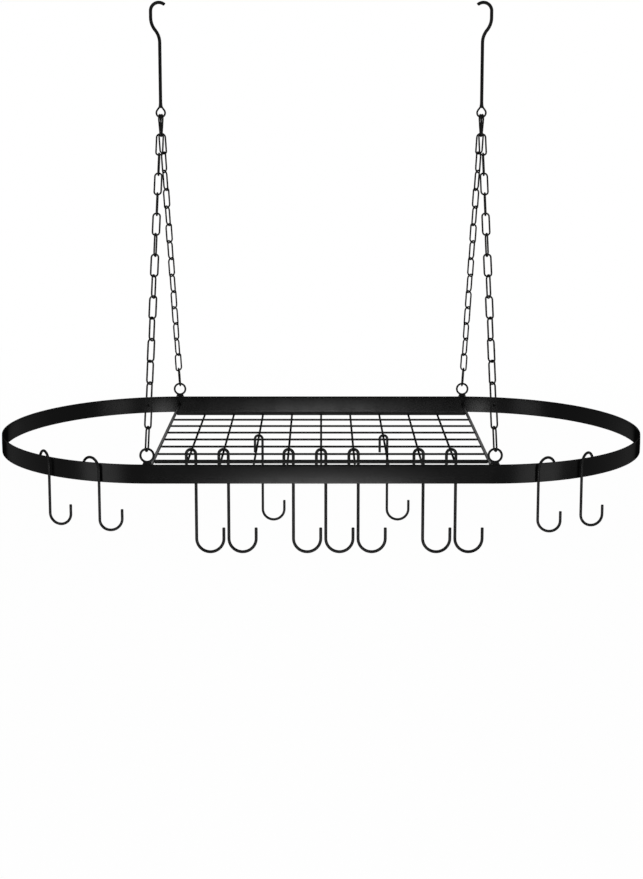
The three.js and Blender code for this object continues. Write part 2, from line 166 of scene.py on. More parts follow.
@dataclass(frozen=True)
class Bend:
    """An arc of wire: positive degrees turn towards the plane's left direction."""

    radius: float
    degrees: float
    steps: int = 12


@dataclass(frozen=True)
class Roll:
    """A turn of the plane of the bends that follow, about the wire's own heading."""

    degrees: float


def turned(vectors: np.ndarray, axis: np.ndarray, angle: np.ndarray | float) -> np.ndarray:
    """Turns vectors that are square to an axis: v cos(angle) + (axis cross v) sin(angle).

    Args:
        vectors: one vector or rows of them.
        axis: a unit vector, or rows of them.
        angle: radians, one or one for each row.

    Returns:
        The turned vectors, a row for each angle.
    """
    angle = np.asarray(angle)[..., None]
    return vectors * np.cos(angle) + np.cross(axis, vectors) * np.sin(angle)


def walk(
    start: np.ndarray, heading: np.ndarray, left: np.ndarray, moves: list[Run | Bend | Roll]
) -> Centreline:
    """Walks a wire's centreline through straight runs and arcs.

    On an arc of radius r and sign s, with the centre at p + s r left, a station after the angle a
    is centre - s r left(a), where left(a) is the left direction turned by a in the bend's plane.
    A roll turns that plane, and is taken off the side directions again, so a tube never twists.

    Args:
        start: where the wire begins.
        heading: its first direction.
        left: the direction that a positive bend turns towards.
        moves: the runs, arcs and rolls in order.

    Returns:
        The centreline, one station for each step.
    """
    at, ahead, aside, rolled = start, heading, left, 0.0
    points, headings, sides = [at[None]], [ahead[None]], [aside[None]]
    for move in moves:
        if isinstance(move, Roll):
            angle = math.radians(move.degrees)
            aside = turned(aside, ahead, angle)
            rolled += angle
            continue
        if isinstance(move, Run):
            share = np.linspace(0, 1, move.steps + 1)[1:, None]
            steps = at + ahead * move.length * share
            ahead_rows = np.repeat(ahead[None], move.steps, axis=0)
            aside_rows = np.repeat(aside[None], move.steps, axis=0)
        else:
            sign = math.copysign(1, move.degrees)
            angles = np.radians(np.linspace(0, move.degrees, move.steps + 1)[1:])
            axis = np.cross(ahead, aside)
            centre = at + aside * move.radius * sign
            ahead_rows = turned(ahead, axis, angles)
            aside_rows = turned(aside, axis, angles)
            steps = centre - aside_rows * move.radius * sign
        points.append(steps)
        headings.append(ahead_rows)
        sides.append(turned(aside_rows, ahead_rows, -rolled))
        at, ahead, aside = steps[-1], ahead_rows[-1], aside_rows[-1]
    return Centreline(np.vstack(points), np.vstack(headings), np.vstack(sides))


def about_z(degrees: float) -> np.ndarray:
    """The matrix that turns points about the Z axis by some degrees."""
    cos, sin = math.cos(math.radians(degrees)), math.sin(math.radians(degrees))
    return np.array([[cos, -sin, 0], [sin, cos, 0], [0, 0, 1.0]])


def quads(rows: int, columns: int, closed: bool) -> np.ndarray:
    """The faces of a grid of points whose columns always join up, and whose rows may.

    Args:
        rows: stations along the shape.
        columns: points round each station.
        closed: whether the last station joins the first.

    Returns:
        Rows of four point numbers, outwards for columns that go round the heading.
    """
    station = np.arange(rows if closed else rows - 1)[:, None]
    column = np.arange(columns)[None, :]
    after = (station + 1) % rows
    beside = (column + 1) % columns
    corners = [station * columns + column, station * columns + beside]
    corners += [after * columns + beside, after * columns + column]
    return np.stack(np.broadcast_arrays(*corners), axis=-1).reshape(-1, 4)


def swept(line: Centreline, across: np.ndarray, up: np.ndarray, closed: bool) -> Surface:
    """Carries a profile along a centreline: point(i, j) = c(i) + across(i, j) side + up(i, j) up.

    Args:
        line: the stations and their frames.
        across: the profile's offsets along each station's side direction.
        up: its offsets along the up direction.
        closed: whether the last station joins the first; if not, both ends are capped.

    Returns:
        The closed surface.
    """
    points = line.points[:, None] + across[..., None] * line.sides[:, None]
    points = points + up[..., None] * line.ups[:, None]
    rows, columns = across.shape
    faces, flat = [quads(rows, columns, closed)], [False]
    if not closed:
        ring = np.arange(columns)
        faces.append(np.stack([ring[::-1], ring + (rows - 1) * columns]))
        flat.append(True)
    return Surface(points.reshape(-1, 3), faces, flat)


def ring_of(count: int) -> np.ndarray:
    """Evenly spaced angles round a circle, in radians."""
    return np.arange(count) * (2 * math.pi / count)


def round_wire(
    line: Centreline, radius: float | np.ndarray, sides: int, closed: bool = False
) -> Surface:
    """A round tube: the point at the angle v of station u is c(u) + r(u) (cos v, sin v).

    Args:
        line: the wire's centreline.
        radius: the wire's radius, or one for each station.
        sides: points round each station.
        closed: whether the wire is a closed loop, whose last station repeats its first.

    Returns:
        The closed surface.
    """
    if closed:
        line = Centreline(line.points[:-1], line.headings[:-1], line.sides[:-1])
    reach = np.broadcast_to(np.asarray(radius, dtype=float), (len(line.points),))[:, None]
    angles = ring_of(sides)[None]
    return swept(line, reach * np.cos(angles), reach * np.sin(angles), closed)


def with_eased_ends(
    line: Centreline, radius: float, ease: float, steps: int = 4
) -> tuple[Centreline, np.ndarray]:
    """Rounds the rims of a cut wire's two ends by a quarter circle.

    At the angle k of the quarter, a station stands ease (1 - cos k) in from the cut and its
    radius is r - ease (1 - sin k).

    Args:
        line: the wire's centreline, cut to cut.
        radius: the wire's radius.
        ease: the quarter circle's radius.
        steps: how many steps the quarter takes.

    Returns:
        The centreline with the added stations, and the radius at each of them.
    """
    quarter = np.linspace(0, math.pi / 2, steps + 1)
    inset = ease * (1 - np.cos(quarter))
    reach = radius - ease * (1 - np.sin(quarter))
    first = line.points[0] + line.headings[0] * inset[:, None]
    last = line.points[-1] - line.headings[-1] * inset[::-1, None]
    wide = np.ones(steps + 1)[:, None]
    return (
        Centreline(
            np.vstack([first, line.points[1:-1], last]),
            np.vstack([wide * line.headings[0], line.headings[1:-1], wide * line.headings[-1]]),
            np.vstack([wide * line.sides[0], line.sides[1:-1], wide * line.sides[-1]]),
        ),
        np.concatenate([reach, np.full(len(line.points) - 2, radius), reach[::-1]]),
    )


def cut_wire(line: Centreline, radius: float, sides: int, ease: float) -> Surface:
    """A round wire with eased rims at both cuts."""
    eased, reach = with_eased_ends(line, radius, ease)
    return round_wire(eased, reach, sides)


def bead(centre: np.ndarray, half: np.ndarray, around: int = 10, along: int = 5) -> Surface:
    """A small flattened ball of weld: centre + half * (cos b cos a, cos b sin a, sin b).

    Args:
        centre: where it sits.
        half: its three half sizes.
        around: points round each ring, at the angles a.
        along: rings from pole to pole, at the angles b.

    Returns:
        The closed surface, with a cap of its own at each pole.
    """
    rise = np.radians(np.linspace(-75, 75, along))[:, None]
    angle = ring_of(around)[None]
    shape = np.stack(
        [
            np.cos(rise) * np.cos(angle),
            np.cos(rise) * np.sin(angle),
            np.broadcast_to(np.sin(rise), (along, around)),
        ],
        axis=-1,
    )
    ring = np.arange(around)
    caps = np.stack([ring[::-1], ring + (along - 1) * around])
    points = (centre + half * shape).reshape(-1, 3)
    return Surface(points, [quads(along, around, False), caps], [False, False])


def lofted_neck(
    levels: np.ndarray, half_widths: np.ndarray, half_depths: np.ndarray, power: float, sides: int
) -> Surface:
    """A neck of rounded sections, one above the other.

    The section at each level is the superellipse |x / w| ** p + |y / d| ** p = 1.

    Args:
        levels: the heights of the sections, rising.
        half_widths: each section's w, along X.
        half_depths: each section's d, along Y.
        power: p, where 2 is an ellipse and more is squarer.
        sides: points round each section.

    Returns:
        The closed surface, standing about X = 0, Y = 0.
    """
    angle = ring_of(sides)[None]
    cos, sin = np.cos(angle), np.sin(angle)
    shape_x = np.sign(cos) * np.abs(cos) ** (2 / power)
    shape_y = np.sign(sin) * np.abs(sin) ** (2 / power)
    count = len(levels)
    line = Centreline(
        np.stack([np.zeros(count), np.zeros(count), levels], axis=-1),
        np.tile(Z_AXIS, (count, 1)),
        np.tile(X_AXIS, (count, 1)),
    )
    return swept(line, half_widths[:, None] * shape_x, half_depths[:, None] * shape_y, False)


def make_piece(name: str, surface: Surface, finish: bpy.types.Material) -> bpy.types.Object:
    """Puts a surface into a mesh object at the origin.

    Args:
        name: the piece's name.
        surface: its shape in millimetres.
        finish: its material.

    Returns:
        The new object, linked to the scene.
    """
    mesh = bpy.data.meshes.new(name)
    faces = [row for rows in surface.faces for row in rows.tolist()]
    mesh.from_pydata((surface.points * MM).tolist(), [], faces)
    smooth = [not flat for rows, flat in zip(surface.faces, surface.flat) for _ in range(len(rows))]
    mesh.polygons.foreach_set("use_smooth", smooth)
    mesh.materials.append(finish)
    mesh.update()
    piece = bpy.data.objects.new(name, mesh)
    bpy.context.scene.collection.objects.link(piece)
    return piece


def add_piece(
    name: str,
    surface: Surface,
    finish: "Finish",
    body: Body | str,
    nodes: list[str],
) -> bpy.types.Object:
    """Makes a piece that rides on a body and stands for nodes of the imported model.

    Args:
        name: the piece's name.
        surface: its shape in millimetres.
        finish: what it is coated with.
        body: the body that it moves with.
        nodes: the nodes that it stands for.

    Returns:
        The new object.
    """
    piece = make_piece(name, surface, finish.material())
    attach(piece, body.value if isinstance(body, Body) else body)
    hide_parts(*nodes)
    LOG.info("%s: %d points, stands for %s", name, len(surface.points), ", ".join(nodes))
    return piece


# ---------------------------------------------------------------- finishes


def set_range(
    node: bpy.types.Node, before: tuple[float, float], after: tuple[float, float]
) -> None:
    """Sets the ends of a Map Range node's two ranges.

    Args:
        node: the node.
        before: the two ends of what it takes.
        after: the two ends of what it gives.
    """
    names = ("From Min", "From Max", "To Min", "To Max")
    for name, value in zip(names, (*before, *after)):
        node.inputs[name].default_value = value


@dataclass(frozen=True)
class Finish:
    """A baked black powder coat: a skin with a fine peel, and small changes of tone and gloss.

    Attributes:
        name: the material's name.
        slot: the record's material slot, which nothing here reads.
        tone: the coat's colour, the same in red, green and blue to within a trace.
        patch: how much lighter its lightest patches are, as a share.
        roughness: the lowest and the highest roughness.
        peel: the size of one dimple of the skin, in millimetres.
        peel_depth: the strength of the skin's relief.
        shine: the strength of its reflections, where 0.5 is a plain clear coat's.
        patch_size: millimetres between its patches of tone.
        patch_edges: the levels of their noise between which the tone changes.
        gloss_size: millimetres between its patches of gloss.
        gloss_edges: the levels of their noise between which the roughness changes.
        peel_height: the height of the skin's dimples, in millimetres.
        turned_away: how far from faced to edge-on its shine starts to fade, and is gone.
        grain: the roughness of every noise.
    """

    name: str
    slot: str
    tone: float
    patch: float
    roughness: tuple[float, float]
    peel: float
    peel_depth: float
    shine: float
    patch_size: float = 38
    patch_edges: tuple[float, float] = (0.32, 0.72)
    gloss_size: float = 21
    gloss_edges: tuple[float, float] = (0.3, 0.7)
    peel_height: float = 0.05
    turned_away: tuple[float, float] = (0.15, 0.8)
    grain: float = 0.55

    def material(self) -> bpy.types.Material:
        """The finish's node material, made once and then shared."""
        return bpy.data.materials.get(self.name) or self._made()

    def _made(self) -> bpy.types.Material:
        """Builds the nodes.

        Returns:
            A new material, whose patterns read only Object coordinates.
        """
        material = bpy.data.materials.new(self.name)
        material.use_nodes = True
        tree = material.node_tree
        shader = tree.nodes["Principled BSDF"]
        shader.inputs["Metallic"].default_value = 0.0
        shader.inputs["IOR"].default_value = 1.5
        place = tree.nodes.new("ShaderNodeTexCoord").outputs["Object"]
        self._colour(tree, shader, place)
        self._gloss(tree, shader, place)
        self._shine(tree, shader)
        self._skin(tree, shader, place)
        material.diffuse_color = (self.tone, self.tone, self.tone, 1)
        return material

    def _noise(
        self, tree: bpy.types.NodeTree, place: bpy.types.NodeSocket, size: float, detail: float
    ) -> bpy.types.NodeSocket:
        """Adds a noise whose bumps are a size in millimetres apart.

        Args:
            tree: the material's node tree.
            place: the coordinates that it reads.
            size: the distance between its bumps.
            detail: how many finer noises are added to it.

        Returns:
            The socket that holds its level.
        """
        noise = tree.nodes.new("ShaderNodeTexNoise")
        noise.inputs["Scale"].default_value = 1 / (size * MM)
        noise.inputs["Detail"].default_value = detail
        noise.inputs["Roughness"].default_value = self.grain
        tree.links.new(place, noise.inputs["Vector"])
        return noise.outputs["Fac"]

    def _colour(
        self, tree: bpy.types.NodeTree, shader: bpy.types.Node, place: bpy.types.NodeSocket
    ) -> None:
        """Lets the tone drift between the coat's own, a trace blue, and lighter, warmer patches.

        Args:
            tree: the material's node tree.
            shader: its shader node.
            place: the coordinates that the pattern reads.
        """
        ramp = tree.nodes.new("ShaderNodeValToRGB")
        dark, light = ramp.color_ramp.elements
        lightest = self.tone * (1 + self.patch)
        dark.position, light.position = self.patch_edges
        dark.color = (self.tone, self.tone, self.tone * 1.03, 1)
        light.color = (lightest, lightest * 0.995, lightest * 0.985, 1)
        tree.links.new(self._noise(tree, place, self.patch_size, 4), ramp.inputs["Fac"])
        tree.links.new(ramp.outputs["Color"], shader.inputs["Base Color"])

    def _gloss(
        self, tree: bpy.types.NodeTree, shader: bpy.types.Node, place: bpy.types.NodeSocket
    ) -> None:
        """Lets the roughness drift between its two ends, as handled and untouched places do.

        Args:
            tree: the material's node tree.
            shader: its shader node.
            place: the coordinates that the pattern reads.
        """
        spread = tree.nodes.new("ShaderNodeMapRange")
        set_range(spread, self.gloss_edges, self.roughness)
        tree.links.new(self._noise(tree, place, self.gloss_size, 3), spread.inputs["Value"])
        tree.links.new(spread.outputs["Result"], shader.inputs["Roughness"])

    def _shine(self, tree: bpy.types.NodeTree, shader: bpy.types.Node) -> None:
        """Gives full shine where the coat is faced, and none edge-on, as on a fine texture.

        Args:
            tree: the material's node tree.
            shader: its shader node.
        """
        weight = tree.nodes.new("ShaderNodeLayerWeight")
        weight.inputs["Blend"].default_value = 0.5
        fade = tree.nodes.new("ShaderNodeMapRange")
        fade.interpolation_type = "SMOOTHSTEP"
        set_range(fade, self.turned_away, (self.shine, 0.0))
        tree.links.new(weight.outputs["Facing"], fade.inputs["Value"])
        tree.links.new(fade.outputs["Result"], shader.inputs["Specular IOR Level"])

    def _skin(
        self, tree: bpy.types.NodeTree, shader: bpy.types.Node, place: bpy.types.NodeSocket
    ) -> None:
        """Gives the coat its fine orange peel as a bump.

        Args:
            tree: the material's node tree.
            shader: its shader node.
            place: the coordinates that the pattern reads.
        """
        bump = tree.nodes.new("ShaderNodeBump")
        bump.inputs["Strength"].default_value = self.peel_depth
        bump.inputs["Distance"].default_value = self.peel_height * MM
        tree.links.new(self._noise(tree, place, self.peel, 2), bump.inputs["Height"])
        tree.links.new(bump.outputs["Normal"], shader.inputs["Normal"])


RAIL_COAT = Finish("rail_coat", "frame", 0.002, 0.3, (0.2, 0.26), 1.4, 0.2, 0.041)
GRID_COAT = Finish("grid_coat", "grid", 0.003, 0.3, (0.3, 0.4), 0.6, 0.12, 0.05)
SIDE_ROD_COAT = replace(
    GRID_COAT,
    name="side_rod_coat",
    roughness=(0.24, 0.34),
    shine=0.2,
    turned_away=(0.15, 0.95),
)
CHAIN_COAT = Finish("chain_coat", "chain", 0.003, 0.35, (0.24, 0.34), 0.5, 0.12, 0.05)
HOOK_COAT = Finish("hook_coat", "hooks", 0.0026, 0.3, (0.22, 0.32), 0.6, 0.12, 0.045)


# ---------------------------------------------------------------- ceiling hooks


@dataclass
class CeilingHooks:
    """The two rods that the ceiling carries, each with an open crown and a closed loop.

    Attributes:
        rod: the rod's thickness.
        crown_radius: the crown's radius, to the middle of the rod.
        tip_angle: degrees that the crown goes on beyond its top, to its open tip.
        side_run: the straight length below the crown.
        offset: how far the shank stands in from that side, under the crown.
        offset_radius: the radius of the two bends that bring it there.
        shank: the length of the straight shank.
        loop_wire: the thickness of the loop's wire.
        loop_radius: the radius of the loop's round part.
        neck_radius: the radius of the bends above it.
        neck_gap: the distance between the middles of the loop's two strands in the neck.
        flare: degrees that these strands lean apart.
        weld: how far the strands' upper ends go past the shank's end.
        spacing: the distance between the two hooks.
        rod_ease: the rounding of the rod's ends.
        loop_ease: the rounding of the strands' ends.
        neck_length: the height of the closed neck that hides where the strands meet the shank.
        neck_below: how far it goes below the shank's end.
        neck_pinch: how far its lowest and its highest section are drawn in, as shares.
        neck_power: how square its sections are.
        strand_cover: how far it covers the strands at their sides.
        wire_cover: how far it covers them at front and back.
        rod_cover: how far it covers the rod.
    """

    rod: float = 4.3
    crown_radius: float = 10.6
    tip_angle: float = 44
    side_run: float = 8.5
    offset: float = 11.1
    offset_radius: float = 25
    shank: float = 81.5
    loop_wire: float = 2.4
    loop_radius: float = 5.6
    neck_radius: float = 5
    neck_gap: float = 2.5
    flare: float = 36
    weld: float = 2
    spacing: float = 413
    rod_ease: float = 0.9
    loop_ease: float = 0.3
    neck_length: float = 7.4
    neck_below: float = 1.4
    neck_pinch: tuple[float, float] = (0.72, 0.97)
    neck_power: float = 2.3
    strand_cover: float = 0.25
    wire_cover: float = 0.2
    rod_cover: float = 0.05

    @property
    def crown_z(self) -> float:
        """The height of the crown's centre."""
        return self.rod / 2 - self.crown_radius

    @property
    def offset_angle(self) -> float:
        """The degrees of each of the two bends that bring the shank under the crown."""
        return math.degrees(math.acos(1 - self.offset / (2 * self.offset_radius)))

    @property
    def shank_end(self) -> float:
        """The height of the shank's lower end."""
        rise = 2 * self.offset_radius * math.sin(math.radians(self.offset_angle))
        return self.crown_z - self.side_run - rise - self.shank

    @property
    def flank(self) -> float:
        """The straight length between the loop's neck and its round part.

        Returns:
            What is left of the round part's reach aside once the neck's bend is taken off, along
            a line that leans out by the flare.
        """
        angle = math.radians(self.flare)
        across = self.loop_radius * math.cos(angle) - self.neck_gap / 2
        across -= self.neck_radius * (1 - math.cos(angle))
        return across / math.sin(angle)

    @property
    def loop_centre(self) -> float:
        """The height of the centre of the loop's round part.

        Returns:
            The strands' upper ends, less what both bends and the straight length come down.
        """
        angle = math.radians(self.flare)
        drop = (self.neck_radius + self.loop_radius) * math.sin(angle)
        return self.shank_end + self.weld - drop - self.flank * math.cos(angle)

    def rod_surface(self) -> Surface:
        """The rod: crown, side, offset neck and shank, with a rounded tip.

        Returns:
            The rod of the left hook, about the hook's hanging line.
        """
        tip = math.radians(90 - self.tip_angle)
        outward = np.array([math.cos(tip), 0, math.sin(tip)])
        centre = np.array([self.crown_radius - self.offset, 0, self.crown_z])
        line = walk(
            centre + outward * self.crown_radius,
            np.array([-outward[2], 0, outward[0]]),
            -outward,
            [
                Bend(self.crown_radius, 90 + self.tip_angle, 30),
                Run(self.side_run, 3),
                Bend(self.offset_radius, self.offset_angle, 12),
                Bend(self.offset_radius, -self.offset_angle, 12),
                Run(self.shank, 10),
            ],
        )
        return cut_wire(line, self.rod / 2, 20, self.rod_ease)

    def loop_surface(self) -> Surface:
        """The loop: out from the neck, round and back, its two ends inside the neck.

        Returns:
            The loop of the left hook.
        """
        line = walk(
            np.array([-self.neck_gap / 2, 0, self.shank_end + self.weld]),
            -Z_AXIS,
            X_AXIS,
            [
                Bend(self.neck_radius, -self.flare, 8),
                Run(self.flank, 3),
                Bend(self.loop_radius, 180 + 2 * self.flare, 36),
                Run(self.flank, 3),
                Bend(self.neck_radius, -self.flare, 8),
            ],
        )
        return cut_wire(line, self.loop_wire / 2, 16, self.loop_ease)

    def neck_surface(self) -> Surface:
        """The closed neck, which widens from the round rod to the width of the loop's strands.

        At the share t of its height, each half size is low + (high - low) t ** 2 (3 - 2 t), and
        both its ends are drawn in a little.

        Returns:
            The neck of the left hook.
        """
        share = np.linspace(0, 1, 9)
        ease = share**2 * (3 - 2 * share)
        drawn_in = np.ones(len(share))
        drawn_in[[0, -1]] = self.neck_pinch
        strands = (self.neck_gap + self.loop_wire) / 2 + self.strand_cover
        wide = strands + (self.rod / 2 + self.rod_cover - strands) * ease
        deep = self.loop_wire / 2 + self.wire_cover + (self.rod - self.loop_wire) / 2 * ease
        levels = self.shank_end - self.neck_below + self.neck_length * share
        return lofted_neck(levels, wide * drawn_in, deep * drawn_in, self.neck_power, 20)

    def build(self) -> None:
        """Makes both hooks; the right one is the left one turned half round."""
        shapes = {
            "rod": self.rod_surface(),
            "loop": self.loop_surface(),
            "neck": self.neck_surface(),
        }
        for side in Side:
            node = f"ceiling_hook_{side.word}"
            turn = np.diag([-1.0, -1.0, 1.0]) if side is Side.RIGHT else np.eye(3)
            place = X_AXIS * side.value * self.spacing / 2
            for part, shape in shapes.items():
                surface = shape.moved(turn, place)
                add_piece(f"{node}_{part}", surface, HOOK_COAT, Body.CEILING, [node])


# ---------------------------------------------------------------- chains


@dataclass
class Chains:
    """The four chains, from the ceiling hooks' loops down to the eyes on the rail.

    Attributes:
        hooks: the ceiling hooks that they hang in.
        band_line: the distance of the rail's middle line from the rack's middle.
        eye_wire: the thickness of the rail's eyes.
        eye_outer: their outer diameter.
        wire: a link's thickness.
        inner_length: a link's length inside.
        outer_width: a link's width outside.
        links: how many links a chain has.
        spread: half the spacing of the two first links in one loop.
        beside: how far they stay side by side down to their lower ends, as a share of it.
        touch: the gap between two links.
        pivot: the gap where it turns: in the loop, below the first link and in the eye.
        pressed: how far the two links of a joined pair are pressed together.
        weld_swell: how much thicker a link is at its weld, as a share.
        weld_reach: how far along the wire that swell goes, in millimetres.
        front_twists: each link's turn beyond the plain quarter turns, on the front chains.
        rear_twists: the same on the rear chains.
    """

    hooks: CeilingHooks
    band_line: float
    eye_wire: float
    eye_outer: float
    wire: float = 2.2
    inner_length: float = 28
    outer_width: float = 11
    links: int = 16
    spread: float = 1.7
    beside: float = 0.7
    touch: float = 0.3
    pivot: float = 0.6
    pressed: float = 0.25
    weld_swell: float = 0.07
    weld_reach: float = 1.1
    front_twists: tuple[int, ...] = (8, 10, 0, 5, 0, 0, 10, 0, 22, 16, 32, 25, 45, 42, 48, 61)
    rear_twists: tuple[int, ...] = (8, 18, 30, 50, 45, 50, 48, 43, 43, 44, 42, 34, 37, 47, 55, 75)

    @property
    def bend(self) -> float:
        """The radius of a link's ends, to the middle of its wire."""
        return (self.outer_width - self.wire) / 2

    @property
    def half(self) -> float:
        """From a link's middle to the middle of the wire at its end."""
        return (self.inner_length + self.wire) / 2

    @property
    def stations(self) -> np.ndarray:
        """Each link's middle, measured down the chain from the hook's loop wire.

        Returns:
            The first link's place, and after it the running sum of the links' inner lengths less
            the gaps. The two links of a joined pair are pressed together, so their gap is negative.
        """
        gaps = [self.pivot]
        gaps += [-self.pressed if link % 2 == 0 else self.touch for link in range(2, self.links)]
        start = self.half - (self.hooks.loop_wire + self.wire) / 2 - self.pivot
        return start + np.concatenate([[0.0], np.cumsum(self.inner_length - np.array(gaps))])

    @property
    def span(self) -> float:
        """From the loop wire to the top wire of the eye, along the chain."""
        return self.stations[-1] + self.half - (self.eye_wire + self.wire) / 2 - self.pivot

    @property
    def drop(self) -> float:
        """How far the chain comes down."""
        return math.sqrt(self.span**2 - self.band_line**2)

    @property
    def top_z(self) -> float:
        """The height of the middle of the loop wire, where the first links stand in it."""
        sag = math.sqrt(self.hooks.loop_radius**2 - self.spread**2)
        return self.hooks.loop_centre - sag

    @property
    def eye_centre(self) -> float:
        """The height of the centre of the eyes on the rail."""
        return self.top_z - self.drop - (self.eye_outer - self.eye_wire) / 2

    def link_surface(self) -> Surface:
        """One link about its own middle, flat in the YZ plane, with a low swell at its weld.

        The wire's radius at the distance s from the middle of one side is
        r (1 + swell exp(-(s / reach) ** 2)).

        Returns:
            The link's surface.
        """
        side = self.inner_length + self.wire - 2 * self.bend
        line = walk(
            np.array([0, self.bend, -side / 2]),
            Z_AXIS,
            -Y_AXIS,
            [Run(side, 12), Bend(self.bend, 180, 12), Run(side, 2), Bend(self.bend, 180, 12)],
        )
        on_side = np.abs(line.points[:, 1] - self.bend) < 1e-6
        swell = self.weld_swell * np.exp(-((line.points[:, 2] / self.weld_reach) ** 2)) * on_side
        reach = self.wire / 2 * (1 + swell[:-1])
        return round_wire(line, reach, 14, closed=True)

    def turns(self, end: End) -> np.ndarray:
        """Each link's turn about the chain, in degrees, counted from edge-on."""
        twists = self.front_twists if end is End.FRONT else self.rear_twists
        return 90.0 * np.arange(self.links) + np.array(twists)

    def place(self, surface: Surface, side: Side, end: End, link: int, turn: float) -> Surface:
        """Puts one link in its chain.

        Args:
            surface: a link about its own middle.
            side: the chain's side.
            end: the rail that the chain comes down to.
            link: the link's number, 1 at the top.
            turn: its turn about the chain, in degrees.

        Returns:
            The placed link.
        """
        hanger = side.value * self.hooks.spacing / 2
        down = np.array([0, end.value * self.band_line, -self.drop]) / self.span
        middle = np.array([hanger, 0, self.top_z]) + down * self.stations[link - 1]
        up = -down * 2 * self.half
        if link == 1:
            apart = side.value * end.value * self.spread
            middle = middle + X_AXIS * apart * (1 + self.beside) / 2
            up = up + X_AXIS * apart * (1 - self.beside)
        up = up / np.linalg.norm(up)
        across = np.cross(up, X_AXIS)
        across = across / np.linalg.norm(across)
        basis = np.stack([np.cross(across, up), across, up], axis=1)
        return surface.moved(basis @ about_z(turn), middle)

    def node(self, chain: str, link: int) -> str:
        """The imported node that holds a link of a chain.

        Args:
            chain: the chain's name.
            link: the link's number, 1 at the top.

        Returns:
            The node's name.
        """
        if link == 1:
            return f"top_link_{chain}"
        if link == self.links:
            return f"chain_{chain}_link_{link:02d}"
        first = link - link % 2
        return f"chain_{chain}_links_{first:02d}_{first + 1:02d}"

    def build(self) -> None:
        """Makes every link of every chain as a piece of its own."""
        shape = self.link_surface()
        for side in Side:
            loaded = Body.LEFT_CHAINS if side is Side.LEFT else Body.RIGHT_CHAINS
            for end in End:
                chain = f"{side.word}_{end.word}"
                for link, turn in enumerate(self.turns(end), start=1):
                    surface = self.place(shape, side, end, link, side.value * turn)
                    body = Body.TOP_LINKS if link == 1 else loaded
                    name = f"link_{chain}_{link:02d}"
                    add_piece(name, surface, CHAIN_COAT, body, [self.node(chain, link)])


# ---------------------------------------------------------------- rail and eyes


